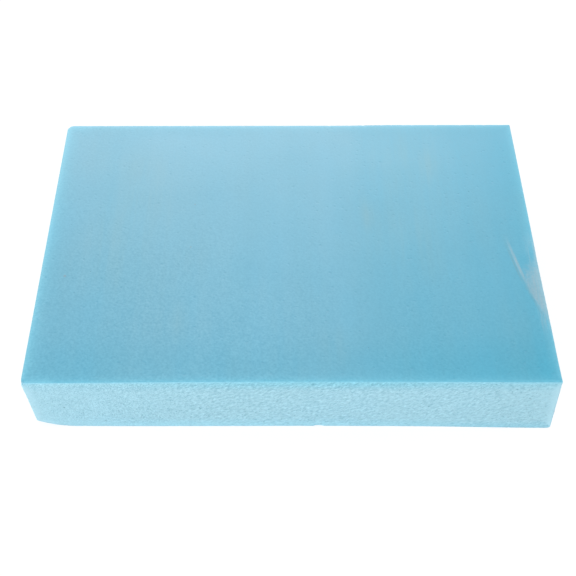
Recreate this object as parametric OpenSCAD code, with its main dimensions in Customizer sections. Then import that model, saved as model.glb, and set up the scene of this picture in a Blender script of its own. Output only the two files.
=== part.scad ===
// Foam block: an offcut of rigid extruded polystyrene board, 50 mm thick.
// The two large faces keep the smooth skin of the board, the four sides are
// hand cuts. The block lies on its underside, centred over the origin, with
// the rough front cut towards -Y and the long edges along X.

/* [Board] */
// Length of the offcut along its front cut
board_length = 348; // [200:1:600]
// Depth of the offcut from the front cut to the back cut
board_depth = 256; // [160:1:600]
// Thickness of the board from skin to skin
board_thickness = 50; // [30:1:120]

/* [Cuts] */
// Lean of the left end, which runs in under the top skin, in degrees
end_lean = 5; // [1:0.5:12]
// How far the front cut has run in under the top skin at its left end
front_drift = 2.5; // [0.5:0.5:10]

/* [Corners] */
// Radius of the rubbed corner where the left end meets the back cut
back_corner_radius = 5; // [1:0.5:20]
// Length along the front cut of the wear on the lower left corner
left_wear_reach = 26; // [10:1:38]
// Radius of the wear on the lower left corner
left_wear_radius = 28; // [28:1:60]
// Length along the front cut of the wear on the lower right corner
right_wear_reach = 4; // [1:0.5:4]
// Radius of the wear on the lower right corner
right_wear_radius = 3.2; // [3:0.1:12]

/* [Nick] */
// Distance of the nick in the lower front edge from the middle of the block
nick_offset = 18; // [-60:1:60]
// Width of the nick along the edge
nick_width = 8; // [3:0.5:16]
// Depth of the nick, square to the edge
nick_depth = 1; // [0.4:0.1:1.5]

/* [Scrape] */
// Front end of the scrape on the top right edge, measured from the front cut
scrape_start = 48; // [20:1:60]
// Length of the scrape along the edge
scrape_length = 70; // [50:1:80]
// Reach of the scrape in from the edge at its widest
scrape_width = 15; // [6:1:24]
// Distance of the widest place from the scrape's back end
scrape_shoulder = 12; // [6:1:20]
// Slope of the scraped surface down towards the edge, in degrees
scrape_slope = 2.5; // [1:0.5:5]
// Slope of the short run-out that closes the scrape at the back, in degrees
runout_slope = 5; // [3:0.5:10]

/* [Hidden] */
$fn = 96;
half_length = board_length / 2;
half_depth = board_depth / 2;
// Amount by which cutters pass through the surfaces they cut
over = 5;
// Size that reaches past the block in every direction
reach_all = board_length + board_depth + board_thickness;
// The left end's foot lies this far in from the top edge
end_undercut = board_thickness * tan(end_lean);
// Side shift and fall of the front cut's lower left facet
drift_per_length = front_drift / (board_length - end_undercut);
drift_per_height = drift_per_length * board_length / board_thickness;
// Radius of the ball whose edge leaves a nick of the given width and depth
nick_radius = (nick_width * nick_width / 4 + nick_depth * nick_depth) / (2 * nick_depth);
// Corner wear is square to the corner's diagonal
wear_angle = 45;

// Slab with both skins, before any of its sides is trimmed
module slab() {
    translate([-half_length, -half_depth, 0])
        cube([board_length, board_depth, board_thickness]);
}

// Frame of the left end: x = 0 is the leaning cut, z = 0 is the top skin
module on_left_end() {
    translate([-half_length, 0, board_thickness])
        rotate([0, -end_lean, 0])
            children();
}

// Everything outside the leaning left end
module end_waste() {
    on_left_end()
        translate([-reach_all, -reach_all, -reach_all])
            cube([reach_all, 2 * reach_all, 2 * reach_all]);
}

// Everything outside the rounded corner between the left end and the back cut
module back_corner_waste() {
    on_left_end()
        translate([back_corner_radius, half_depth - back_corner_radius, 0])
            difference() {
                translate([-back_corner_radius - over, 0, -reach_all / 2])
                    cube([back_corner_radius + over, back_corner_radius + over, reach_all]);
                cylinder(r = back_corner_radius, h = 2 * reach_all, center = true);
            }
}

// Everything in front of the facet that the front cut has where it ran in.
// The facet passes through the lower right, lower left and upper left corners.
module front_waste() {
    facet_turn = atan(drift_per_length);
    facet_tilt = atan(drift_per_height * cos(facet_turn));
    translate([half_length, -half_depth, 0])
        rotate([facet_tilt, 0, -facet_turn])
            translate([-2 * reach_all, -reach_all, -reach_all])
                cube([3 * reach_all, reach_all, 2 * reach_all]);
}

// Waste under a worn lower corner at the origin, with the corner's two sides
// running along +X and +Y. The wear is a cylinder that touches the underside.
module corner_wear(reach, radius) {
    span = reach * cos(wear_angle);
    rotate([0, 0, wear_angle])
        translate([span, 0, 0])
            difference() {
                translate([-span - radius, -reach, -over])
                    cube([span + radius, 2 * reach, radius + over]);
                translate([0, 0, radius])
                    rotate([90, 0, 0])
                        cylinder(r = radius, h = 3 * reach, center = true);
            }
}

// Worn lower left corner of the front cut
module left_wear() {
    translate([end_undercut - half_length, front_drift - half_depth, 0])
        corner_wear(left_wear_reach, left_wear_radius);
}

// Blunted lower right corner of the front cut
module right_wear() {
    translate([half_length, -half_depth, 0])
        mirror([1, 0, 0])
            corner_wear(right_wear_reach, right_wear_radius);
}

// Ball that takes the nick out of the lower front edge
module nick() {
    edge_y = drift_per_length * (half_length - nick_offset) - half_depth;
    centre_out = (nick_radius - nick_depth) / sqrt(2);
    translate([nick_offset, edge_y - centre_out, -centre_out])
        sphere(r = nick_radius);
}

// Everything above a plane through the Y axis that slopes down towards +X
module above_plane(slope) {
    rotate([0, slope, 0])
        translate([-reach_all, -reach_all, 0])
            cube([2 * reach_all, 2 * reach_all, reach_all]);
}

// Shallow scrape in the top right edge, left between two planes. The long one
// falls away from the skin to the edge, the short one climbs out at the back.
module scrape() {
    long_turn = atan(scrape_width / (scrape_length - scrape_shoulder));
    short_turn = atan(scrape_width / scrape_shoulder);
    translate([half_length, scrape_start - half_depth, board_thickness])
        intersection() {
            rotate([0, 0, long_turn])
                above_plane(scrape_slope);
            translate([0, scrape_length, 0])
                rotate([0, 0, -short_turn])
                    above_plane(runout_slope);
        }
}

module foam_block() {
    color([0.55, 0.79, 0.88])
        difference() {
            slab();
            end_waste();
            back_corner_waste();
            front_waste();
            left_wear();
            right_wear();
            nick();
            scrape();
        }
}

foam_block();
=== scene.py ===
"""Finish of the foam block: a rigid foam offcut with smooth skins and torn, hand-cut sides.

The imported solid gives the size, the lean of the cuts and the worn places. A fine grid is laid
on it, a node tree tears its cut sides, and two materials colour the skins and the cuts.
"""

import math

import bpy
import numpy as np
from bpy.props import (
    FloatProperty,
    FloatVectorProperty,
    IntProperty,
    PointerProperty,
)
from mathutils import Matrix, Vector
from mathutils.bvhtree import BVHTree


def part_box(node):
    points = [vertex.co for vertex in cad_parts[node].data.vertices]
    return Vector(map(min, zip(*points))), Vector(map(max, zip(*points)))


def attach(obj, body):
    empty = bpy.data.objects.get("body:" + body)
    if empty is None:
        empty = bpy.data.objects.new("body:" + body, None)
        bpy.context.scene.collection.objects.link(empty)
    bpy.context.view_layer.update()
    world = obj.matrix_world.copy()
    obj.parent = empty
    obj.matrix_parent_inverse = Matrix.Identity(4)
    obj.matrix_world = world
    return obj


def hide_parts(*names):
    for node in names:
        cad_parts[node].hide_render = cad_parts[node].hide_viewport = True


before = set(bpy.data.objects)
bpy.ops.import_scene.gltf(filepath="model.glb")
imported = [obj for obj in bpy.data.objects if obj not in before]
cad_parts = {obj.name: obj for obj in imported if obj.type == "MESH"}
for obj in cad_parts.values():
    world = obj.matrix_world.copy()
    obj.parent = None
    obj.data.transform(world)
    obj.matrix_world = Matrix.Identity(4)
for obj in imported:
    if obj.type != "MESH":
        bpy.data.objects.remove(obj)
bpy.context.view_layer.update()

bl_info = {
    "name": "Foam Block",
    "version": (1, 0, 0),
    "blender": (4, 5, 0),
    "location": "3D View > Sidebar > Foam Block",
    "description": "Lays a torn and scuffed surface on a rigid foam offcut",
    "category": "Add Mesh",
}

NODE = "foam_block"
PIECE = "foam_offcut"
MM = 0.001
POLYSTYRENE_IOR = 1.59
# Seed of the saw rows, which the relief and the cut material both draw
SAW_SEED = 4.1

# Names of the values that the grid carries to the node tree and the materials
EDGE_DISTANCE = "edge_distance"
CORNER_DISTANCE = "corner_distance"
CUT_SIDE = "cut_side"
TORN_DEPTH = "torn_depth"


def length(name, description, default, **limits):
    """A property that holds a length, in metres."""
    return FloatProperty(
        name=name, description=description, default=default, unit="LENGTH", precision=5, **limits
    )


def colour(name, description, red, green, blue):
    """A property that holds a colour, in linear light."""
    return FloatVectorProperty(
        name=name,
        description=description,
        subtype="COLOR",
        size=4,
        min=0,
        max=1,
        default=(red, green, blue, 1),
    )


def angle(name, description, degrees):
    """A property that holds an angle, given in degrees."""
    return FloatProperty(
        name=name, description=description, default=math.radians(degrees), subtype="ANGLE"
    )


class FoamShapeSettings(bpy.types.PropertyGroup):
    """Sizes of the grid that is laid on the solid."""

    side_step: length("Side Step", "Spacing of the grid on the cut sides", 0.95 * MM, min=0.4 * MM)
    skin_ratio: IntProperty(
        name="Skin Ratio",
        description="How many steps of the cut sides one step of the skins spans",
        default=4,
        min=1,
    )
    edge_row: length(
        "Edge Row", "Width of the narrow rows of faces beside the long edges", 0.45 * MM
    )
    corner_radius: length(
        "Corner Radius", "Radius of the rubbed upright corner at the back of the left end", 5 * MM
    )


class FoamReliefSettings(bpy.types.PropertyGroup):
    """Sizes of the torn surface, which the node tree takes as its inputs."""

    clump_size: length(
        "Clump Size", "Width of the clumps of cells that the saw tore out", 1.9 * MM
    )
    clump_depth: length("Clump Depth", "Depth of the torn clumps", 0.34 * MM)
    row_spacing: length("Row Spacing", "Spacing of the slanting rows that the saw left", 4.2 * MM)
    row_depth: length("Row Depth", "Depth of the slanting rows that the saw left", 0.2 * MM)
    wander_size: length("Wander Size", "Length of the waves that the saw left", 70 * MM)
    wander_depth: length("Wander Depth", "Depth of the waves that the saw left", 0.4 * MM)
    edge_ease: length("Edge Ease", "How far the edges are rubbed back", 0.05 * MM)
    edge_crumble: length("Edge Crumble", "How far the edges have crumbled, at most", 0.22 * MM)
    corner_ease: length(
        "Corner Ease", "How far the top corner at the front left is rubbed back", 0.9 * MM
    )
    skin_sink: length("Skin Sink", "Depth of the shallow hollows in the skins", 0.15 * MM)
    front_hollow: length(
        "Front Hollow", "How far the front cut runs in between its ends", 0.7 * MM
    )
    front_flare: length("Front Flare", "How far the front cut runs out at its right end", 0.5 * MM)
    right_hollow: length(
        "Right Hollow", "How far the right end runs in between its corners", 0.48 * MM
    )
    back_drift: length(
        "Back Drift", "How far the back cut drifts out on its way to the right end", 0.78 * MM
    )
    seed: FloatProperty(
        name="Seed", description="Chooses the pattern of the torn clumps", default=3.7
    )


class FoamFinishSettings(bpy.types.PropertyGroup):
    """Colours and finish of the skins and the cuts."""

    skin_colour: colour("Skin", "Smooth skin of the board", 0.129, 0.467, 0.648)
    cut_colour: colour("Cut", "Torn foam of the cut sides", 0.389, 0.67, 0.79)
    fresh_colour: colour("Fresh", "Less torn, deeper foam under the top skin", 0.265, 0.61, 0.745)
    foot_colour: colour("Foot", "Less torn foam over the bottom skin", 0.36, 0.73, 0.88)
    end_colour: colour("Ends", "Rubbed, paler ends of the cut sides", 0.50, 0.78, 0.90)
    warm_colour: colour("Handled", "Handled and dusty places on the skins", 0.34, 0.47, 0.42)
    # Painted loss of sheen: a bluer skin where the sheen falls off, towards the right end and the
    # front edge
    less_sheen_colour: colour("Less Sheen", "Cleaner, bluer skin towards the right end", 0.03, 0.44, 0.65)
    haze_colour: colour("Haze", "Pale haze where the skin is rubbed", 0.50, 0.66, 0.76)
    scuff_colour: colour("Scuff", "Foam laid bare and smeared by the scrape", 0.335, 0.52, 0.615)
    speck_colour: colour("Speck", "Dirt in the open pores", 0.05, 0.16, 0.22)
    # Painted glow: light shining through the foam beside an edge, painted into the colour
    glow_colour: colour("Glow", "Foam that light shines through, beside an edge", 0.22, 0.73, 0.95)
    # Painted highlight on the edges where a skin meets a cut
    edge_highlight_colour: colour("Highlight", "Thin lip where a skin ends at a cut", 0.28, 0.69, 0.87)


class FoamStageSettings(bpy.types.PropertyGroup):
    """Floor, lamps and camera."""

    floor_size: length("Floor Size", "Length of the floor's sides", 12)
    world_strength: FloatProperty(
        name="Room Light", description="Strength of the even light from all around", default=0.33
    )
    camera_place: FloatVectorProperty(
        name="Camera Place",
        description="Where the camera stands",
        subtype="TRANSLATION",
        unit="LENGTH",
        default=(-0.0078, -0.5888, 0.6422),
    )
    camera_dip: angle("Camera Dip", "How far below level the camera looks", 47.4875)
    camera_turn: angle("Camera Turn", "Turn of the camera from straight ahead, to the left", -0.60)
    camera_roll: angle("Camera Roll", "Roll of the camera about its line of sight", 0.32)
    camera_lens: FloatProperty(
        name="Lens",
        description="Focal length in millimetres, on a 36 mm wide sensor",
        default=72.96,
    )


# Grid


class Solid:
    """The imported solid, felt from outside with straight probes."""

    def __init__(self, node, corner_radius):
        self.corner_radius = corner_radius
        self.tree = BVHTree.FromObject(node, bpy.context.evaluated_depsgraph_get())
        self.low, self.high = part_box(node.name)
        self.nudge = 0.3 * MM
        self.reach = (self.high - self.low).length
        self.left_plane = self.plane_of_left_end()
        self.facet_plane = self.plane_of_front_facet()

    def feel(self, point, direction):
        """Where a probe that passes through the point first meets the solid."""
        start = point - direction * self.reach
        found = self.tree.ray_cast(start, direction)[0]
        return point if found is None else found

    def at(self, x_share, y_share, z_share):
        """The point of the box at these shares of its sides."""
        size = self.high - self.low
        return self.low + Vector((x_share * size.x, y_share * size.y, z_share * size.z))

    def plane_of_left_end(self):
        """Factors of the left end's x for 1, y and z."""
        probes = [self.at(0.2, 0.4, 0.3), self.at(0.2, 0.7, 0.3), self.at(0.2, 0.5, 0.9)]
        met = [self.feel(probe, Vector((1, 0, 0))) for probe in probes]
        return np.linalg.solve([(1, p.y, p.z) for p in met], [p.x for p in met])

    def plane_of_front_facet(self):
        """Factors of the y of the front cut's leaning facet for 1, x and z."""
        probes = [self.at(0.12, 0.2, 0.35), self.at(0.12, 0.2, 0.6), self.at(0.35, 0.2, 0.35)]
        met = [self.feel(probe, Vector((0, 1, 0))) for probe in probes]
        return np.linalg.solve([(1, p.x, p.z) for p in met], [p.y for p in met])

    def left(self, y, z):
        """Where the left end lies, along x."""
        return float(np.dot(self.left_plane, (1, y, z)))

    def front(self, x, z):
        """Where the front cut lies, along y."""
        return max(self.low.y, float(np.dot(self.facet_plane, (1, x, z))))

    def seat(self, share, z):
        """The point at a height for its shares of length and depth, on the four cuts."""
        y = self.low.y + share.y * (self.high.y - self.low.y)
        x = self.left(y, z)
        x += share.x * (self.high.x - x)
        y = self.front(x, z)
        return self.rounded(Vector((x, y + share.y * (self.high.y - y), z)))

    def rounded(self, point):
        """The point, drawn in where it lies in the rubbed upright corner."""
        left = self.left(point.y, point.z)
        across = left + self.corner_radius - point.x
        along = point.y - (self.high.y - self.corner_radius)
        if across > 0 and along > 0:
            shrink = max(across, along) / math.hypot(across, along)
            point.x = left + self.corner_radius - across * shrink
            point.y = self.high.y - self.corner_radius + along * shrink
        return point

    def probe_at(self, point):
        """The point, drawn a little way towards the middle so that a probe meets the solid."""
        inward = (self.low + self.high) / 2 - point
        inward.z = 0
        return point + inward.normalized() * self.nudge

    def place(self, share):
        """The point of the solid's surface for its shares of length, depth and height."""
        foot = self.probe_at(self.seat(share, self.low.z))
        floor = self.feel(foot, Vector((0, 0, 1))).z
        head = self.probe_at(self.seat(share, self.high.z))
        ceiling = self.feel(head, Vector((0, 0, -1))).z
        return self.seat(share, floor + share.z * (ceiling - floor))


def outline_shares(across, along):
    """Shares of length and depth of the points around a rectangle, from its front left corner."""
    front = [(i / across, 0) for i in range(across)]
    right = [(1, i / along) for i in range(along)]
    back = [(1 - i / across, 1) for i in range(across)]
    left = [(0, 1 - i / along) for i in range(along)]
    return front + right + back + left


def inset_share(share, inset, side):
    """A share of a side, drawn in so that its ends stop short by the inset."""
    return (inset + share * (side - 2 * inset)) / side


def grid_shares(size, shape):
    """Points, as shares of the block, and faces of a closed grid: fine sides and coarse skins."""
    ratio = shape.skin_ratio
    coarse_x = round(size.x / (ratio * shape.side_step))
    coarse_y = round(size.y / (ratio * shape.side_step))
    outline = outline_shares(coarse_x * ratio, coarse_y * ratio)
    around = len(outline)
    levels = round(size.z / shape.side_step)
    edge = shape.edge_row / size.z
    heights = [0, edge] + [i / levels for i in range(1, levels)] + [1 - edge, 1]
    points = [(u, v, h) for h in heights for u, v in outline]
    faces = []

    def band(lower, upper):
        for i in range(around):
            j = (i + 1) % around
            faces.append((lower + i, lower + j, upper + j, upper + i))

    for level in range(len(heights) - 1):
        band(level * around, (level + 1) * around)

    def skin(rim, height, upwards):
        """Narrow rows beside the rim, a row that thins the grid out, and the coarse middle."""
        made = len(faces)
        for inset in (shape.edge_row, shape.edge_row + shape.side_step):
            ring = len(points)
            for u, v in outline:
                u = inset_share(u, inset, size.x)
                v = inset_share(v, inset, size.y)
                points.append((u, v, height))
            band(rim, ring)
            rim = ring
        inset = shape.edge_row + 3 * shape.side_step
        middle = len(points)
        for j in range(coarse_y + 1):
            for i in range(coarse_x + 1):
                u = inset_share(i / coarse_x, inset, size.x)
                v = inset_share(j / coarse_y, inset, size.y)
                points.append((u, v, height))
        row = coarse_x + 1
        border = [middle + round(u * coarse_x) + row * round(v * coarse_y)
                  for u, v in outline_shares(coarse_x, coarse_y)]
        for i, corner in enumerate(border):
            fine = [rim + (i * ratio + k) % around for k in range(ratio + 1)]
            faces.append((*fine, border[(i + 1) % len(border)], corner))
        for j in range(coarse_y):
            for i in range(coarse_x):
                corner = middle + i + row * j
                faces.append((corner, corner + 1, corner + row + 1, corner + row))
        if not upwards:
            faces[made:] = [tuple(reversed(face)) for face in faces[made:]]

    skin((len(heights) - 1) * around, 1, True)
    skin(0, 0, False)
    return points, faces


def block_mesh(shape):
    """The closed grid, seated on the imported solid, with the values that the finish needs."""
    solid = Solid(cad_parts[NODE], shape.corner_radius)
    size = solid.high - solid.low
    shares, faces = grid_shares(size, shape)
    points = [solid.place(Vector(share)) for share in shares]
    mesh = bpy.data.meshes.new(PIECE)
    mesh.from_pydata(points, [], faces)
    mesh.shade_smooth()
    from_low = np.array(shares) * np.array(size)
    from_planes = np.sort(np.hstack([from_low, np.array(size) - from_low]), axis=1)
    for name, column in ((EDGE_DISTANCE, 1), (CORNER_DISTANCE, 2)):
        distance = mesh.attributes.new(name, "FLOAT", "POINT")
        distance.data.foreach_set("value", from_planes[:, column].astype(np.float32))
    skins = [len({shares[i][2] for i in face}) == 1 for face in faces]
    cut = mesh.attributes.new(CUT_SIDE, "BOOLEAN", "FACE")
    cut.data.foreach_set("value", [not skin for skin in skins])
    return mesh


# Node trees


class Tree:
    """Writes a node tree one step a line."""

    column = 190

    def __init__(self, tree):
        self.tree = tree
        self.tree.nodes.clear()

    def add(self, kind, inputs=(), **settings):
        """A new node with its settings, its inputs linked or set by name or number."""
        node = self.tree.nodes.new(kind)
        node.location = (self.column * len(self.tree.nodes), 0)
        for name, value in settings.items():
            setattr(node, name, value)
        for key, value in dict(inputs).items():
            self.feed(node.inputs[key], value)
        return node

    def feed(self, socket, value):
        """Links an output to the socket, or sets the socket's value."""
        if isinstance(value, bpy.types.NodeSocket):
            self.tree.links.new(value, socket)
        else:
            socket.default_value = value

    def math(self, operation, *values, clamp=False):
        inputs = dict(enumerate(values))
        return self.add("ShaderNodeMath", inputs, operation=operation, use_clamp=clamp).outputs[0]

    def plus(self, a, b):
        return self.math("ADD", a, b)

    def minus(self, a, b):
        return self.math("SUBTRACT", a, b)

    def times(self, a, b, clamp=False):
        return self.math("MULTIPLY", a, b, clamp=clamp)

    def over(self, a, b):
        return self.math("DIVIDE", a, b)

    def vector(self, operation, *values):
        node = self.add("ShaderNodeVectorMath", operation=operation)
        for socket, value in zip(node.inputs, values):
            self.feed(socket, value)
        return node.outputs["Value" if operation == "LENGTH" else "Vector"]

    def scale(self, vector, factor):
        node = self.add("ShaderNodeVectorMath", {0: vector, "Scale": factor}, operation="SCALE")
        return node.outputs["Vector"]

    def in_steps(self, vector, size):
        """The vector, counted in steps of a size."""
        return self.scale(vector, self.over(1.0, size))

    def ramp(self, value, start, end, low=0.0, high=1.0, smooth=True):
        """The value, carried from start..end to low..high and held there beyond."""
        kind = "SMOOTHSTEP" if smooth else "LINEAR"
        limits = {"From Min": start, "From Max": end, "To Min": low, "To Max": high}
        inputs = {"Value": value, **limits}
        return self.add("ShaderNodeMapRange", inputs, interpolation_type=kind).outputs["Result"]

    def hump(self, value, outer, inner=0.0):
        """1 where the value lies within the inner distance of zero, and 0 past the outer one."""
        return self.ramp(self.math("ABSOLUTE", value), outer, inner)

    def noise(self, vector, scale, detail=2.0, roughness=0.5, seed=0.0):
        inputs = {"Vector": vector, "W": seed, "Scale": scale, "Detail": detail,
                  "Roughness": roughness}
        return self.add("ShaderNodeTexNoise", inputs, noise_dimensions="4D").outputs["Fac"]

    def cells(self, vector, scale):
        """The outputs of a cell pattern: the distance to a cell's centre and its random colour."""
        inputs = {"Vector": vector, "Scale": scale, "Randomness": 1.0}
        return self.add("ShaderNodeTexVoronoi", inputs, feature="F1").outputs

    def separate(self, vector):
        return self.add("ShaderNodeSeparateXYZ", {"Vector": vector}).outputs

    def combine(self, x, y, z):
        return self.add("ShaderNodeCombineXYZ", {"X": x, "Y": y, "Z": z}).outputs["Vector"]

    def mix_float(self, factor, a, b):
        node = self.add("ShaderNodeMix", data_type="FLOAT")
        for name, value in (("Factor", factor), ("A", a), ("B", b)):
            self.feed(next(s for s in node.inputs if s.name == name and s.type == "VALUE"), value)
        return node.outputs[0]

    def mix_colour(self, factor, a, b, blend="MIX"):
        node = self.add("ShaderNodeMix", data_type="RGBA", blend_type=blend)
        self.feed(node.inputs["Factor"], factor)
        for name, value in (("A", a), ("B", b)):
            self.feed(next(s for s in node.inputs if s.name == name and s.type == "RGBA"), value)
        return next(s for s in node.outputs if s.type == "RGBA")


def new_socket(tree, name, kind, default=None, out=False):
    """A named input or output of a group or a geometry tree."""
    made = tree.interface.new_socket(
        name=name, in_out="OUTPUT" if out else "INPUT", socket_type="NodeSocket" + kind
    )
    if default is not None:
        made.default_value = default
    return made


def shader_group(name, inputs, outputs):
    """An empty shader group with named inputs and outputs; its tree, inputs and output node."""
    group = bpy.data.node_groups.new(name, "ShaderNodeTree")
    for label, kind, default in inputs:
        new_socket(group, label, kind, default)
    for label, kind in outputs:
        new_socket(group, label, kind, out=True)
    tree = Tree(group)
    start = tree.add("NodeGroupInput").outputs
    end = tree.add("NodeGroupOutput").inputs
    return group, tree, start, end


def saw_rows(tree, vector, spacing):
    """Ripples left by the saw on an upright side, -1 to 1: wavy rows that climb to the right."""
    x, y, z = tree.separate(vector)[:3]
    slope = 0.45
    rise = tree.minus(z, tree.times(tree.plus(x, y), slope))
    per_row = tree.over(1.0, spacing)
    drift = tree.noise(tree.scale(vector, tree.times(per_row, 0.45)), 1.0, seed=SAW_SEED)
    phase = tree.plus(tree.times(rise, per_row), tree.times(drift, 3.2))
    ripple = tree.math("SINE", tree.times(phase, 2 * math.pi))
    patchy = tree.noise(tree.scale(vector, tree.times(per_row, 0.3)), 1.0, detail=1.0, seed=6.1)
    return tree.times(ripple, tree.ramp(patchy, 0.3, 0.65, 0.35, 1.0))


def torn_in_rows(tree, vector):
    """Where the saw tore in slanting rows: everywhere but in a ragged stretch at the left."""
    x = tree.separate(vector)["X"]
    blotch = tree.noise(vector, 16.0, detail=1.0, seed=2.6)
    return tree.ramp(tree.plus(x, tree.times(blotch, 100 * MM)), -60 * MM, 20 * MM)


def torn_dashes(tree, vector):
    """Short dashes of torn cells on an upright side, which climb to the right and swing about."""
    x, y, z = tree.separate(vector)[:3]
    along = tree.plus(x, y)
    climb = math.radians(32)
    dash_length = 2.6 * MM
    dash_width = 0.8 * MM
    swing = tree.times(tree.noise(vector, 34.0, detail=1.0, seed=5.2), 11 * MM)
    lengthwise = tree.plus(tree.times(along, math.cos(climb)), tree.times(z, math.sin(climb)))
    across = tree.minus(tree.times(z, math.cos(climb)), tree.times(along, math.sin(climb)))
    across = tree.plus(across, swing)
    dashes = tree.combine(
        tree.over(lengthwise, dash_length), tree.over(across, dash_width), 0.0
    )
    return tree.noise(dashes, 1.0, detail=1.0, roughness=0.6, seed=2.9)


def saw_drift(tree, position, start):
    """How far the hand-led saw left the straight line, as a shift along the bench."""
    low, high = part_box(NODE)
    x, y, z = tree.separate(position)[:3]
    fade = 15 * MM
    at_front = tree.ramp(y, low.y + fade, low.y + 3 * MM)
    at_back = tree.ramp(y, high.y - fade, high.y - 1 * MM)
    at_right = tree.ramp(x, high.x - fade, high.x - 1 * MM)

    # The front cut is hollow, further to the right at its foot, and flares at its right end
    deepest = tree.ramp(z, low.z, high.z, 40 * MM, -20 * MM)
    hollow = tree.times(tree.hump(tree.minus(x, deepest), 160 * MM), start["Front Hollow"])
    flare = tree.times(tree.ramp(x, 90 * MM, 165 * MM), start["Front Flare"])
    front = tree.times(tree.minus(hollow, flare), at_front)

    # The back cut lies in at its left and out at its right
    back = tree.times(tree.ramp(x, 35 * MM, 80 * MM, -0.36, 0.64), start["Back Drift"])
    back = tree.times(back, at_back)

    # The right end is hollow, deepest in its front half
    right = tree.times(tree.hump(tree.plus(y, 65 * MM), 190 * MM), start["Right Hollow"])
    inward = tree.ramp(y, low.y, low.y + fade, -0.6, -1.0)
    right = tree.times(right, tree.times(at_right, inward))
    return tree.combine(right, tree.plus(front, back), 0.0)


def carried(tree, name, kind="FLOAT"):
    """In a geometry tree, the value of this name that the grid carries."""
    node = tree.add("GeometryNodeInputNamedAttribute", {"Name": name}, data_type=kind)
    return node.outputs["Attribute"]


def torn_depth(tree, position, waves, edge, start):
    """Depth of the torn surface under a cut, and how deeply its cells are torn, 0 to 1."""
    clumps = tree.noise(
        tree.in_steps(position, start["Clump Size"]), 1.0, detail=1.0, seed=start["Seed"]
    )
    torn = tree.ramp(clumps, 0.7, 0.3)
    depth = tree.times(tree.minus(torn, 0.5), start["Clump Depth"])
    rows = saw_rows(tree, position, start["Row Spacing"])
    rows = tree.times(rows, torn_in_rows(tree, position))
    depth = tree.plus(depth, tree.times(rows, tree.times(start["Row Depth"], -0.5)))
    steady = tree.ramp(edge, 0.0, 6 * MM, 0.3, 1.0)
    wander = tree.times(tree.ramp(waves, 0.3, 0.7, -0.7, 0.3), start["Wander Depth"])
    return tree.plus(tree.times(depth, steady), wander), tree.times(torn, steady)


def rubbed_edge(tree, position, edge, start):
    """How far the edges are rubbed back and crumbled."""
    at_edge = tree.ramp(edge, 0.6 * MM, 0.0)
    crumbs = tree.noise(position, 420.0, roughness=0.6, seed=start["Seed"])
    crumbled = tree.times(tree.ramp(crumbs, 0.5, 0.75), start["Edge Crumble"])
    return tree.times(at_edge, tree.plus(start["Edge Ease"], crumbled))


def blunted_corner(tree, position, start):
    """How far the top corner at the front left is rubbed back."""
    low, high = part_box(NODE)
    middle = (low + high) / 2
    x, y, z = tree.separate(position)[:3]
    on_left = tree.math("LESS_THAN", x, middle.x)
    in_front = tree.math("LESS_THAN", y, middle.y)
    on_top = tree.math("GREATER_THAN", z, middle.z)
    that_corner = tree.times(on_left, tree.times(in_front, on_top))
    at_corner = tree.times(tree.ramp(carried(tree, CORNER_DISTANCE), 3.0 * MM, 0.0), that_corner)
    return tree.times(at_corner, start["Corner Ease"])


def relief_tree(inputs):
    """Geometry nodes that tear the cut sides, crumble the edges and sink the skins."""
    group = bpy.data.node_groups.new("Foam Relief", "GeometryNodeTree")
    new_socket(group, "Geometry", "Geometry")
    for name, value in inputs.items():
        new_socket(group, name, "Float", value)
    new_socket(group, "Skin", "Material")
    new_socket(group, "Cut", "Material")
    new_socket(group, "Geometry", "Geometry", out=True)
    tree = Tree(group)
    start = tree.add("NodeGroupInput").outputs
    end = tree.add("NodeGroupOutput").inputs
    position = tree.add("GeometryNodeInputPosition").outputs[0]
    normal = tree.add("GeometryNodeInputNormal").outputs[0]
    edge = carried(tree, EDGE_DISTANCE)

    waves = tree.noise(
        tree.in_steps(position, start["Wander Size"]), 1.0, 1.0, 0.4, start["Seed"]
    )
    cut_depth, torn = torn_depth(tree, position, waves, edge, start)
    sunk = tree.times(tree.ramp(waves, 0.35, 0.65), start["Skin Sink"])
    skin_depth = tree.times(sunk, tree.ramp(edge, 0.0, 15 * MM))
    upright = tree.minus(1.0, tree.math("ABSOLUTE", tree.separate(normal)["Z"]))
    is_cut = tree.ramp(upright, 0.25, 0.6)
    depth = tree.mix_float(is_cut, skin_depth, cut_depth)
    rubbed = rubbed_edge(tree, position, edge, start)
    depth = tree.plus(depth, tree.plus(rubbed, blunted_corner(tree, position, start)))

    offset = tree.scale(normal, tree.times(depth, -1.0))
    offset = tree.vector("ADD", offset, saw_drift(tree, position, start))
    x, y, z = tree.separate(tree.vector("ADD", position, offset))[:3]
    lowest_kept = tree.math("MAXIMUM", z, start["Lowest"])
    held = tree.combine(x, y, tree.math("MINIMUM", lowest_kept, start["Highest"]))
    moved = tree.add("GeometryNodeSetPosition", {"Geometry": start["Geometry"], "Position": held})
    kept = tree.add(
        "GeometryNodeStoreNamedAttribute",
        {"Geometry": moved.outputs[0], "Name": TORN_DEPTH, "Value": tree.times(torn, is_cut)},
        data_type="FLOAT",
        domain="POINT",
    )
    real = tree.add("GeometryNodeRealizeInstances", {"Geometry": kept.outputs[0]})
    skinned = tree.add(
        "GeometryNodeSetMaterial", {"Geometry": real.outputs[0], "Material": start["Skin"]}
    )
    cut_faces = {
        "Geometry": skinned.outputs[0],
        "Selection": carried(tree, CUT_SIDE, "BOOLEAN"),
        "Material": start["Cut"],
    }
    finished = tree.add("GeometryNodeSetMaterial", cut_faces)
    tree.feed(end["Geometry"], finished.outputs[0])
    return group


def relief_inputs(relief):
    """The settings under the names of the tree's inputs, with the heights of both skins."""
    low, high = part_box(NODE)
    inputs = {}
    for key in FoamReliefSettings.__annotations__:
        inputs[key.replace("_", " ").title()] = getattr(relief, key)
    return {**inputs, "Lowest": low.z, "Highest": high.z}


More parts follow.
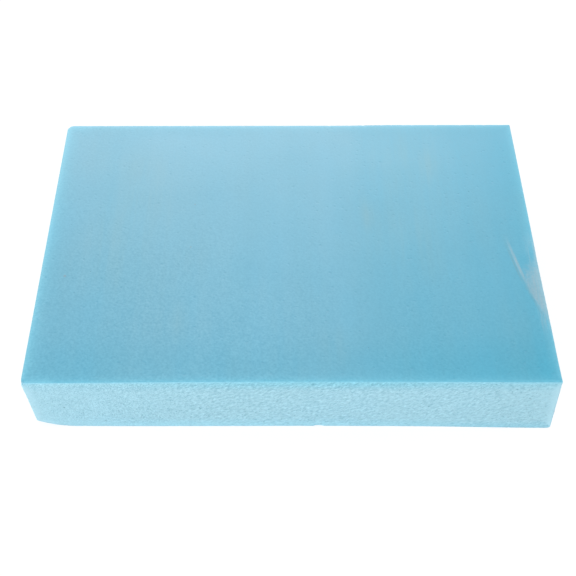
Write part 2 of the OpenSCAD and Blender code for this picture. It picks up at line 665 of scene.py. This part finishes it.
def torn_block(mesh, group, chosen):
    """The mesh with the relief applied, as a plain object with no modifier left."""
    base = bpy.data.objects.new(PIECE + "_base", mesh)
    bpy.context.scene.collection.objects.link(base)
    modifier = base.modifiers.new("Relief", "NODES")
    modifier.node_group = group
    for item in group.interface.items_tree:
        if item.in_out == "INPUT" and item.name in chosen:
            modifier[item.identifier] = chosen[item.name]
    bpy.context.view_layer.update()
    depsgraph = bpy.context.evaluated_depsgraph_get()
    torn = bpy.data.meshes.new_from_object(
        base.evaluated_get(depsgraph), preserve_all_data_layers=True, depsgraph=depsgraph
    )
    bpy.data.objects.remove(base)
    bpy.data.meshes.remove(mesh)
    torn.name = PIECE
    block = bpy.data.objects.new(PIECE, torn)
    bpy.context.scene.collection.objects.link(block)
    return block


# Materials


def edge_light_group():
    """Painted light beside an edge: a painted glow for light shining through the foam, and a
    painted highlight line on the edge itself.
    """
    group, tree, start, end = shader_group(
        "Edge Light",
        [("Distance", "Float", 1.0), ("Reach", "Float", 2.8 * MM)],
        [("Glow", "Float"), ("Painted Highlight", "Float")],
    )
    near = tree.over(start["Distance"], start["Reach"])
    tree.feed(end["Glow"], tree.math("EXPONENT", tree.times(near, -1.0)))
    tree.feed(end["Painted Highlight"], tree.math("EXPONENT", tree.times(near, -3.5)))
    return group


def grain_group():
    """Fine cells of the foam, and its larger open pores."""
    group, tree, start, end = shader_group(
        "Foam Grain",
        [("Vector", "Vector", None), ("Size", "Float", 1 * MM)],
        [("Height", "Float"), ("Pores", "Float")],
    )
    scaled = tree.in_steps(start["Vector"], start["Size"])
    tree.feed(end["Height"], tree.noise(scaled, 1.0, detail=1.0, roughness=0.6, seed=1.3))
    cells = tree.cells(scaled, 0.36)
    chance = tree.separate(cells["Color"])["Y"]
    spot = tree.ramp(cells["Distance"], 0.30, 0.10)
    tree.feed(end["Pores"], tree.times(spot, tree.ramp(chance, 0.2, 0.9)))
    return group


def handling_group():
    """Soft clouds and front-to-back bands left by the rollers and by handling."""
    group, tree, start, end = shader_group(
        "Handling",
        [("Vector", "Vector", None)],
        [("Clouds", "Float"), ("Bands", "Float"), ("Streaks", "Float"), ("Tint", "Float"),
         ("Lines", "Float")],
    )
    x, y, z = tree.separate(start["Vector"])[:3]

    def drawn_out(per_metre_across, per_metre_along, **noise):
        """Noise drawn out from front to back, from its counts in a metre."""
        across = tree.times(x, per_metre_across)
        along = tree.times(y, per_metre_along)
        return tree.noise(tree.combine(across, along, z), 1.0, **noise)

    clouds = tree.noise(start["Vector"], 11.0, detail=3.0, roughness=0.55, seed=2.2)
    bands = drawn_out(26.0, 3.0, seed=5.5)
    streaks = drawn_out(160.0, 9.0, roughness=0.6, seed=9.5)
    tree.feed(end["Clouds"], tree.ramp(clouds, 0.3, 0.7))
    tree.feed(end["Bands"], tree.ramp(bands, 0.3, 0.7))
    tree.feed(end["Streaks"], tree.ramp(streaks, 0.3, 0.7))
    tree.feed(end["Tint"], drawn_out(42.0, 15.0, detail=3.0, roughness=0.6, seed=3.4))
    tree.feed(end["Lines"], drawn_out(700.0, 6.0, detail=1.0, seed=4.8))
    return group


def speck_group():
    """Scattered dark specks: open pores with dirt in them."""
    group, tree, start, end = shader_group(
        "Specks",
        [("Vector", "Vector", None), ("Spacing", "Float", 12 * MM), ("Share", "Float", 0.3),
         ("Radius", "Float", 0.5 * MM)],
        [("Speck", "Float")],
    )
    cells = tree.cells(tree.in_steps(start["Vector"], start["Spacing"]), 1.0)
    chance = tree.separate(cells["Color"])["X"]
    picked = tree.math("LESS_THAN", chance, start["Share"])
    reach = tree.times(cells["Distance"], start["Spacing"])
    spot = tree.ramp(tree.over(reach, start["Radius"]), 1.2, 0.5)
    tree.feed(end["Speck"], tree.times(spot, picked))
    return group


def principled(name):
    """A new material with only its shader and output; the material, its tree and the shader."""
    material = bpy.data.materials.new(name)
    material.use_nodes = True
    tree = Tree(material.node_tree)
    shader = tree.add("ShaderNodeBsdfPrincipled")
    tree.add("ShaderNodeOutputMaterial", {"Surface": shader.outputs[0]})
    return material, tree, shader


def place_group(tree, group, **inputs):
    """The outputs of a group placed in a material, its inputs given by name."""
    node = tree.add("ShaderNodeGroup", node_tree=group)
    for name, value in inputs.items():
        tree.feed(node.inputs[name.replace("_", " ").title()], value)
    return node.outputs


def place_and_distance(tree):
    """The place on the piece, and the distance to an edge that the mesh carries."""
    place = tree.add("ShaderNodeTexCoord").outputs["Object"]
    distance = tree.add("ShaderNodeAttribute", attribute_name=EDGE_DISTANCE).outputs["Fac"]
    return place, distance


def bump(tree, height, distance, normal=None):
    """A normal bent by a height, on top of another bump where one is given."""
    inputs = {"Height": height, "Distance": distance, "Strength": 1.0}
    if normal is not None:
        inputs["Normal"] = normal
    return tree.add("ShaderNodeBump", inputs).outputs["Normal"]


def dip(tree, mask, depth, normal):
    """A normal that dips where the mask is 1, on top of another bump."""
    return bump(tree, tree.times(mask, -1.0), depth, normal)


def shaded(tree, base, shade, red, blue):
    """The colour times a shade, which acts more or less strongly on red and blue than on green."""
    change = tree.minus(shade, 1.0)
    on_red = tree.plus(tree.times(change, red), 1.0)
    on_blue = tree.plus(tree.times(change, blue), 1.0)
    return tree.mix_colour(1.0, base, tree.combine(on_red, shade, on_blue), "MULTIPLY")


def oval(tree, flat, centre, spread):
    """A soft oval patch on the skins, 1 at its centre and 0 at its rim."""
    shifted = tree.vector("SUBTRACT", flat, (*centre, 0.0))
    reach = tree.vector("LENGTH", tree.vector("DIVIDE", shifted, (*spread, 1.0)))
    return tree.ramp(reach, 1.0, 0.0)


def with_patches(tree, total, flat, places):
    """The total with a soft oval patch added at each place, at the place's own strength."""
    for centre, spread, strength in places:
        total = tree.plus(total, tree.times(oval(tree, flat, centre, spread), strength))
    return total


# Front end and length of the scrape on the top right edge, as in the solid
SCRAPE_START = 48 * MM
SCRAPE_LENGTH = 70 * MM


def scrape_masks(tree, vector):
    """The scrape on the top right edge: bare foam, its inner ridge, its groove with a painted
    shadow along the bare patch's inner border, and fine lines.
    """
    low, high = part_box(NODE)
    x, y = tree.separate(vector)[:2]
    inward = tree.minus(high.x, x)
    along = tree.math("MAXIMUM", tree.minus(y, low.y + SCRAPE_START), 0.5 * MM)
    wobble = tree.minus(tree.noise(vector, 300.0, seed=7.0), 0.5)
    drawn = tree.combine(tree.times(x, 900.0), tree.times(y, 40.0), 0.0)
    lines = tree.noise(drawn, 1.0, roughness=0.6, seed=8.0)

    # The bare patch widens towards the back along a curve, and closes with a ragged end
    curve = 0.72
    widening = 0.117
    inner = tree.times(tree.math("POWER", along, curve), widening)
    share = tree.over(tree.plus(inward, tree.times(wobble, 3 * MM)), inner)
    ground = tree.ramp(share, 1.18, tree.ramp(along, 0.0, 34 * MM, 0.3, 0.9))
    top = tree.plus(along, tree.times(share, 18 * MM))
    ragged = tree.plus(top, tree.times(wobble, 14 * MM))
    closed = tree.ramp(ragged, SCRAPE_LENGTH, SCRAPE_LENGTH - 20 * MM)
    opened = tree.ramp(along, 0.0, 22 * MM, 0.5, 1.0)
    covered = tree.times(closed, opened)

    # A pushed-up ridge and a groove beside it follow the inner border, past its back end
    beyond = tree.minus(inward, inner)
    reach = tree.ramp(along, 30 * MM, 52 * MM)
    reach = tree.times(reach, tree.ramp(along, 88 * MM, 56 * MM))
    ridge = tree.times(tree.hump(beyond, 1.6 * MM, 0.4 * MM), reach)
    groove = tree.hump(tree.minus(beyond, 2.2 * MM), 1.2 * MM, 0.2 * MM)
    groove = tree.times(groove, reach)
    # Painted shadow along the inner border of the bare patch, which lies below the skin; it goes
    # out with the groove
    border = tree.hump(tree.minus(share, 1.1), 0.2, 0.03)
    border = tree.times(tree.times(border, covered), 0.6)

    # Faint lines carry on beside the edge behind the bare patch, and fainter ones in front
    faint = tree.times(
        tree.ramp(inward, 9 * MM, 3 * MM), tree.ramp(along, 92 * MM, SCRAPE_LENGTH)
    )
    faint = tree.times(faint, tree.ramp(lines, 0.38, 0.58, 0.0, 0.62))
    front = low.y + SCRAPE_START
    faint = tree.times(faint, tree.ramp(y, front - 10 * MM, front + 6 * MM, 0.1, 1.0))
    bare = tree.math("MAXIMUM", tree.times(ground, covered), faint)
    bare = tree.math("MAXIMUM", bare, ridge)
    return bare, ridge, tree.math("MAXIMUM", groove, border), lines


# Place on the skins painted with the least sheen, bluest: its centre, half width and half length
LESS_SHEEN_CORNER = (0.170, -0.128)
LESS_SHEEN_SPREAD = (0.120, 0.080)
# Handled places on the skins: centre, half width and half length, and strength
HANDLED_PLACES = [
    ((-0.105, 0.055), (0.045, 0.075), 0.10),
    ((0.104, 0.078), (0.009, 0.030), 0.16),
    ((0.056, 0.028), (0.008, 0.026), 0.14),
    ((0.088, 0.010), (0.050, 0.070), 0.08),
    ((0.030, -0.100), (0.016, 0.030), 0.06),
    ((-0.075, -0.075), (0.010, 0.030), 0.07),
    ((-0.125, -0.005), (0.035, 0.075), 0.08),
    ((0.088, 0.090), (0.045, 0.065), 0.09),
]
# Places on the skins with more or less blue: centre, half width and half length, and change
TINTED_PLACES = [
    ((-0.020, -0.065), (0.080, 0.085), 0.030),
    ((-0.140, 0.085), (0.050, 0.060), -0.025),
    ((0.150, -0.095), (0.060, 0.075), -0.025),
]
# Flecks of dirt on the skins: centre and radius
FLECKS = [
    ((-0.157, -0.034), 1.6 * MM),
    ((-0.071, -0.006), 0.9 * MM),
    ((-0.070, 0.038), 0.8 * MM),
]
FLECK_COLOUR = (0.30, 0.26, 0.27, 1)


def skin_tones(tree, place, flat, handling, finish):
    """Colours of the whole skin: pale bands, a painted loss of sheen towards the right end and the
    front edge, and handled places.
    """
    x, y = tree.separate(place)[:2]
    hazy = tree.times(handling["Bands"], 0.07)
    base = tree.mix_colour(hazy, finish.skin_colour, finish.haze_colour)
    # Painted loss of sheen: bluer towards the right end, the front right corner and the front edge
    less_sheen = tree.times(tree.ramp(x, 10 * MM, 110 * MM), 0.35)
    corner = tree.times(oval(tree, flat, LESS_SHEEN_CORNER, LESS_SHEEN_SPREAD), 0.1)
    front_strip = tree.times(tree.ramp(y, -80 * MM, -122 * MM), 0.2)
    less_sheen = tree.plus(less_sheen, tree.plus(corner, front_strip))
    less_sheen = tree.plus(less_sheen, tree.times(tree.ramp(x, 145 * MM, 171 * MM), 0.18))
    base = tree.mix_colour(less_sheen, base, finish.less_sheen_colour)
    handled = with_patches(tree, tree.times(handling["Clouds"], 0.05), flat, HANDLED_PLACES)
    streaky = tree.ramp(handling["Streaks"], 0.0, 1.0, 0.6, 1.4, smooth=False)
    handled = tree.times(handled, streaky, clamp=True)
    return tree.mix_colour(handled, base, finish.warm_colour)


def with_flecks(tree, base, flat):
    """The colour with the flecks of dirt on it."""
    flecks = 0.0
    for centre, radius in FLECKS:
        flecks = tree.math("MAXIMUM", flecks, oval(tree, flat, centre, (radius, radius)))
    return tree.mix_colour(tree.times(flecks, 0.5), base, FLECK_COLOUR)


def skin_material(finish, groups):
    """Smooth closed skin: satin, faintly clouded and banded, with fine pores and the scrape."""
    material, tree, shader = principled("Foam Skin")
    place, distance = place_and_distance(tree)
    x, y = tree.separate(place)[:2]
    at_left = tree.ramp(x, -150 * MM, -165 * MM)
    reach = tree.mix_float(at_left, 2.8 * MM, 4.2 * MM)
    edge = place_group(tree, groups["edge"], distance=distance, reach=reach)
    grain = place_group(tree, groups["grain"], vector=place, size=1.6 * MM)
    handling = place_group(tree, groups["handling"], vector=place)
    specks = place_group(
        tree, groups["specks"], vector=place, spacing=16 * MM, share=0.35, radius=0.45 * MM
    )
    bare, ridge, groove, lines = scrape_masks(tree, place)
    flat = tree.vector("MULTIPLY", place, (1.0, 1.0, 0.0))

    # Colours, from the whole skin to the scrape and the flecks
    base = skin_tones(tree, place, flat, handling, finish)
    # Painted glow of light shining through the foam beside the edges, wider and stronger at the
    # left end
    glow = tree.times(edge["Glow"], tree.mix_float(at_left, 0.55, 0.72))
    base = tree.mix_colour(glow, base, finish.glow_colour)
    scuffed = tree.times(bare, tree.ramp(lines, 0.3, 0.7, 0.55, 1.0))
    thin = tree.times(tree.times(bare, edge["Glow"]), 0.6)
    thin = tree.math("MAXIMUM", thin, tree.times(ridge, 0.18))
    base = tree.mix_colour(tree.times(scuffed, 0.9), base, finish.scuff_colour)
    base = tree.mix_colour(thin, base, finish.cut_colour)
    # The groove darkened, and the painted shadow along the bare patch's border, in a mix of the
    # speck and handled colours
    groove_and_shadow_colour = tree.mix_colour(0.5, finish.speck_colour, finish.warm_colour)
    base = tree.mix_colour(tree.times(groove, 0.28), base, groove_and_shadow_colour)
    base = with_flecks(tree, base, flat)

    # Fine cells, stronger where the skin is rubbed, pores and ruled lines; partly painted shade,
    # with higher cells paler and pores darker
    rubbed = tree.times(
        tree.ramp(x, -170 * MM, 150 * MM, 0.60, 0.29, smooth=False),
        tree.ramp(y, -120 * MM, 100 * MM, 1.08, 0.72, smooth=False),
    )
    rubbed = tree.times(rubbed, tree.ramp(handling["Clouds"], 0.0, 1.0, 0.8, 1.2))
    mottle = tree.ramp(grain["Height"], 0.3, 0.7, 0.86, 1.14, smooth=False)
    mottle = tree.mix_float(rubbed, 1.0, mottle)
    dimple = tree.ramp(grain["Pores"], 0.0, 1.0, 1.0, 0.95, smooth=False)
    ruled = tree.ramp(handling["Lines"], 0.3, 0.7, 0.995, 1.005, smooth=False)
    shade = tree.times(tree.times(mottle, dimple), ruled)
    base = shaded(tree, base, shade, red=2.2, blue=0.75)
    tint = tree.ramp(handling["Tint"], 0.3, 0.7, 0.982, 1.018, smooth=False)
    tint = with_patches(tree, tint, flat, TINTED_PLACES)
    base = shaded(tree, base, tint, red=0.0, blue=1.4)
    base = tree.mix_colour(tree.times(specks["Speck"], 0.25), base, finish.speck_colour)
    # Painted highlight along the skin's edges, stronger at the left end
    rim = tree.times(edge["Painted Highlight"], tree.mix_float(at_left, 0.24, 0.65))
    tree.feed(shader.inputs["Base Color"], tree.mix_colour(rim, base, finish.edge_highlight_colour))

    rough = tree.ramp(grain["Height"], 0.3, 0.7, 0.38, 0.48, smooth=False)
    tree.feed(shader.inputs["Roughness"], tree.mix_float(scuffed, rough, 0.7))
    shader.inputs["IOR"].default_value = POLYSTYRENE_IOR
    cells = bump(tree, tree.times(grain["Height"], rubbed), 0.1 * MM)
    dimples = dip(tree, grain["Pores"], 0.05 * MM, cells)
    pits = dip(tree, specks["Speck"], 0.15 * MM, dimples)
    grooves = bump(tree, tree.times(bare, lines), 0.2 * MM, pits)
    tree.feed(shader.inputs["Normal"], grooves)
    return material


def cut_zones(tree, place, distance):
    """Masks of the cuts: upper half, fresher foam, rubbed ends, coarseness, a duller foot towards
    the right end, and a painted highlight just below the top edge.
    """
    low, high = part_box(NODE)
    sides = tree.separate(place)
    x = sides["X"]
    z = sides["Z"]
    upper = tree.math("GREATER_THAN", z, (low.z + high.z) / 2)
    to_skin = tree.math("MINIMUM", tree.minus(high.z, z), tree.minus(z, low.z))

    # Fresher foam beside the skins, mostly in the middle of the length
    under_top = tree.ramp(x, -150 * MM, 10 * MM, 0.25, 1.0)
    under_top = tree.times(under_top, tree.ramp(x, 60 * MM, 130 * MM, 1.0, 0.55))
    over_foot = tree.ramp(x, -160 * MM, -90 * MM, 0.1, 0.45)
    beside_skin = tree.ramp(to_skin, 11 * MM, 1 * MM)
    fresh = tree.times(beside_skin, tree.mix_float(upper, over_foot, under_top))

    # Rubbed ends, where another cut is nearer than a skin
    nearer_corner = tree.ramp(tree.minus(to_skin, distance), 0.5 * MM, 2.5 * MM)
    worn_end = tree.times(tree.ramp(distance, 7 * MM, 0.5 * MM), nearer_corner)

    # Grain is coarse under the top skin, and calm over the foot and towards both ends
    coarse = tree.times(
        tree.ramp(to_skin, 12 * MM, 2 * MM, 1.0, tree.mix_float(upper, 0.6, 1.3)),
        tree.ramp(x, -160 * MM, -80 * MM, 0.75, 1.0),
    )
    near_end = tree.times(tree.ramp(distance, 18 * MM, 5 * MM), nearer_corner)
    coarse = tree.times(coarse, tree.minus(1.0, tree.times(near_end, 0.3)))
    high_right = tree.times(
        tree.ramp(x, 120 * MM, 155 * MM), tree.ramp(z, low.z + 8 * MM, low.z + 34 * MM)
    )
    coarse = tree.times(coarse, tree.mix_float(high_right, 1.0, 0.6))

    low_right = tree.times(
        tree.ramp(x, 80 * MM, 140 * MM), tree.ramp(z, low.z + 8 * MM, low.z + 1 * MM)
    )
    dull = tree.times(low_right, tree.minus(1.0, worn_end))
    # Painted highlight on the cut just below the top edge
    top_edge_highlight = tree.ramp(tree.minus(high.z, z), 2.1 * MM, 0.7 * MM)
    return upper, fresh, worn_end, coarse, dull, top_edge_highlight


def cut_material(finish, groups, row_spacing):
    """Torn foam: pale, matt and grainy, in round grains and slanting dashes."""
    material, tree, shader = principled("Foam Cut")
    place, distance = place_and_distance(tree)
    torn = tree.add("ShaderNodeAttribute", attribute_name=TORN_DEPTH).outputs["Fac"]
    grain = place_group(tree, groups["grain"], vector=place, size=0.7 * MM)
    handling = place_group(tree, groups["handling"], vector=place)
    specks = place_group(
        tree, groups["specks"], vector=place, spacing=5 * MM, share=0.3, radius=0.5 * MM
    )
    in_rows = torn_in_rows(tree, place)
    rows = tree.times(saw_rows(tree, place, row_spacing), in_rows)
    cells_height = tree.mix_float(
        tree.times(in_rows, 0.75), grain["Height"], torn_dashes(tree, place)
    )
    upper, fresh, worn_end, coarse, dull, top_edge_highlight = cut_zones(tree, place, distance)

    base = tree.mix_colour(
        tree.times(handling["Clouds"], 0.08), finish.cut_colour, finish.warm_colour
    )
    near_skin = tree.mix_colour(upper, finish.foot_colour, finish.fresh_colour)
    base = tree.mix_colour(fresh, base, near_skin)
    base = tree.mix_colour(tree.times(worn_end, 0.5), base, finish.end_colour)

    # Partly the foam's own tone and partly painted shade: darker in lower cells, pores, saw-row
    # hollows and deeper tears, paler on higher cells
    shade = tree.ramp(cells_height, 0.25, 0.75, 0.72, 1.24, smooth=False)
    shade = tree.times(shade, tree.ramp(torn, 0.0, 1.0, 1.04, 0.94, smooth=False))
    shade = tree.times(shade, tree.ramp(rows, -1.0, 1.0, 0.95, 1.05, smooth=False))
    shade = tree.times(shade, tree.ramp(grain["Pores"], 0.0, 1.0, 1.0, 0.8))
    shade = tree.math("POWER", shade, coarse)
    shade = tree.mix_float(tree.times(worn_end, 0.85), shade, 1.0)
    shade = tree.minus(shade, tree.times(dull, 0.09))
    base = shaded(tree, base, shade, red=1.45, blue=0.85)
    base = tree.mix_colour(tree.times(specks["Speck"], 0.2), base, finish.speck_colour)
    # Painted highlight just below the top edge
    base = tree.mix_colour(tree.times(top_edge_highlight, 0.5), base, finish.edge_highlight_colour)
    tree.feed(shader.inputs["Base Color"], base)

    shader.inputs["Roughness"].default_value = 0.8
    cells = bump(tree, cells_height, 0.22 * MM)
    dimples = dip(tree, grain["Pores"], 0.3 * MM, cells)
    tree.feed(shader.inputs["Normal"], dip(tree, specks["Speck"], 0.3 * MM, dimples))
    return material


def build_block(context):
    """The finished block, riding on the part's one body in the solid's place."""
    scene = context.scene
    finish = scene.foam_finish
    groups = {
        "edge": edge_light_group(),
        "grain": grain_group(),
        "handling": handling_group(),
        "specks": speck_group(),
    }
    skin = skin_material(finish, groups)
    cut = cut_material(finish, groups, scene.foam_relief.row_spacing)
    mesh = block_mesh(scene.foam_shape)
    inputs = relief_inputs(scene.foam_relief)
    block = torn_block(mesh, relief_tree(inputs), {"Skin": skin, "Cut": cut, **inputs})
    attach(block, "root")
    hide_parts(NODE)
    return block


# Stage


# Keeps the floor and the underside from lying in one plane
FLOOR_GAP = 0.1 * MM
# Grey of the floor that lights the block from below
FLOOR_GREY = (0.8, 0.8, 0.8, 1)
# Grey that shows the lamps' light and the block's shadow on the floor
SHADOW_GREY = (0.22, 0.22, 0.22, 1)
# The floor's own white beside the block, where that grey adds to it
FLOOR_WHITE = 0.86
WHITE = (1, 1, 1, 1)
# Point on the block's middle that the side and front lamps face
MIDDLE = (0, 0, 0.03)
# Lamps: name, place, point faced, width, height, power and whether satin surfaces show it
LAMPS = [
    ("Back Lamp", (-0.08, 1.8, 0.95), (0, 0.05, 0.05), 1.4, 0.5, 21.3, True),
    ("Front Lamp", (-0.4, -1.9, 0.6), MIDDLE, 1.4, 0.7, 22.0, False),
    ("Left Lamp", (-1.9, -0.1, 0.6), MIDDLE, 1.2, 0.7, 14.0, False),
    ("Right Lamp", (1.9, -0.1, 0.6), MIDDLE, 1.2, 0.7, 14.0, False),
]


def seen_directly(tree):
    """1 for what the camera sees, also in a reflection or through clear things, and else 0."""
    rays = tree.add("ShaderNodeLightPath").outputs
    glossy = tree.math("MAXIMUM", rays["Is Glossy Ray"], rays["Is Transmission Ray"])
    return tree.math("MAXIMUM", rays["Is Camera Ray"], glossy)


def floor_material():
    """White floor that the camera sees as bare white, but for the block's soft shadow."""
    material = bpy.data.materials.new("White Floor")
    material.use_nodes = True
    tree = Tree(material.node_tree)
    bounce = tree.add("ShaderNodeBsdfDiffuse", {"Color": FLOOR_GREY}).outputs[0]
    shadow = tree.add("ShaderNodeBsdfDiffuse", {"Color": SHADOW_GREY}).outputs[0]
    from_block = tree.vector("LENGTH", tree.add("ShaderNodeTexCoord").outputs["Object"])
    own = tree.ramp(from_block, 0.4, 1.8, FLOOR_WHITE, 1.0)
    white = tree.add("ShaderNodeEmission", {"Strength": own}).outputs[0]
    seen = tree.add("ShaderNodeAddShader", {0: shadow, 1: white}).outputs[0]
    mixed = tree.add("ShaderNodeMixShader", {0: seen_directly(tree), 1: bounce, 2: seen})
    tree.add("ShaderNodeOutputMaterial", {"Surface": mixed.outputs[0]})
    return material


def white_world(strength):
    """Even room light, seen by the camera as plain white."""
    world = bpy.data.worlds.new("White Room")
    world.use_nodes = True
    tree = Tree(world.node_tree)
    room = tree.add("ShaderNodeBackground", {"Color": WHITE, "Strength": strength}).outputs[0]
    white = tree.add("ShaderNodeBackground", {"Color": WHITE, "Strength": 1.0}).outputs[0]
    mixed = tree.add("ShaderNodeMixShader", {0: seen_directly(tree), 1: room, 2: white})
    tree.add("ShaderNodeOutputWorld", {"Surface": mixed.outputs[0]})
    return world


def soft_lamp(name, place, target, width, height, power, glare):
    """A wide soft lamp aimed at a point, with or without glare on satin surfaces."""
    data = bpy.data.lights.new(name, "AREA")
    data.shape = "RECTANGLE"
    data.size = width
    data.size_y = height
    data.energy = power
    lamp = bpy.data.objects.new(name, data)
    lamp.location = place
    lamp.visible_glossy = glare
    lamp.rotation_euler = (Vector(target) - Vector(place)).to_track_quat("-Z", "Y").to_euler()
    bpy.context.scene.collection.objects.link(lamp)


def set_camera(stage):
    """A camera that looks along +Y, turned, dipped and rolled by its settings."""
    data = bpy.data.cameras.new("Camera")
    data.sensor_width = 36
    data.lens = stage.camera_lens
    camera = bpy.data.objects.new("Camera", data)
    turn = Matrix.Rotation(stage.camera_turn, 4, "Z")
    tilt = Matrix.Rotation(math.pi / 2 - stage.camera_dip, 4, "X")
    roll = Matrix.Rotation(stage.camera_roll, 4, "Z")
    camera.matrix_world = Matrix.Translation(stage.camera_place) @ turn @ tilt @ roll
    bpy.context.scene.collection.objects.link(camera)
    bpy.context.scene.camera = camera


def build_stage(context):
    """Floor, room light, lamps and camera."""
    scene = context.scene
    stage = scene.foam_stage
    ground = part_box(NODE)[0].z - FLOOR_GAP
    half = stage.floor_size / 2
    mesh = bpy.data.meshes.new("floor")
    corners = [(-half, -half), (half, -half), (half, half), (-half, half)]
    mesh.from_pydata([(x, y, ground) for x, y in corners], [], [(0, 1, 2, 3)])
    mesh.materials.append(floor_material())
    floor = bpy.data.objects.new("floor", mesh)
    scene.collection.objects.link(floor)
    scene.world = white_world(stage.world_strength)
    for lamp in LAMPS:
        soft_lamp(*lamp)
    set_camera(stage)
    scene.view_settings.view_transform = "Standard"


# Add-on


class FOAM_OT_build_block(bpy.types.Operator):
    """Lay the torn and scuffed surface on the solid block"""

    bl_idname = "foam.build_block"
    bl_label = "Build Block"

    def execute(self, context):
        build_block(context)
        return {"FINISHED"}


class FOAM_OT_build_stage(bpy.types.Operator):
    """Set up the white floor, the soft lamps and the camera"""

    bl_idname = "foam.build_stage"
    bl_label = "Build Stage"

    def execute(self, context):
        build_stage(context)
        return {"FINISHED"}


SETTINGS = {
    "foam_shape": FoamShapeSettings,
    "foam_relief": FoamReliefSettings,
    "foam_finish": FoamFinishSettings,
    "foam_stage": FoamStageSettings,
}


class FOAM_PT_panel(bpy.types.Panel):
    """Sizes and colours of the foam block"""

    bl_idname = "FOAM_PT_panel"
    bl_label = "Foam Block"
    bl_space_type = "VIEW_3D"
    bl_region_type = "UI"
    bl_category = "Foam Block"

    def draw(self, context):
        for name, group in SETTINGS.items():
            settings = getattr(context.scene, name)
            box = self.layout.box()
            box.label(text=name.replace("foam_", "").title())
            for key in group.__annotations__:
                box.prop(settings, key)
        for operator in (FOAM_OT_build_block, FOAM_OT_build_stage):
            self.layout.operator(operator.bl_idname)


CLASSES = [*SETTINGS.values(), FOAM_OT_build_block, FOAM_OT_build_stage, FOAM_PT_panel]


def register():
    for cls in CLASSES:
        bpy.utils.register_class(cls)
    for name, group in SETTINGS.items():
        setattr(bpy.types.Scene, name, PointerProperty(type=group))


def unregister():
    for name in SETTINGS:
        delattr(bpy.types.Scene, name)
    for cls in reversed(CLASSES):
        bpy.utils.unregister_class(cls)


def main():
    """Builds the block and the stage."""
    register()
    bpy.ops.foam.build_block()
    bpy.ops.foam.build_stage()


if __name__ == "__main__":
    main()
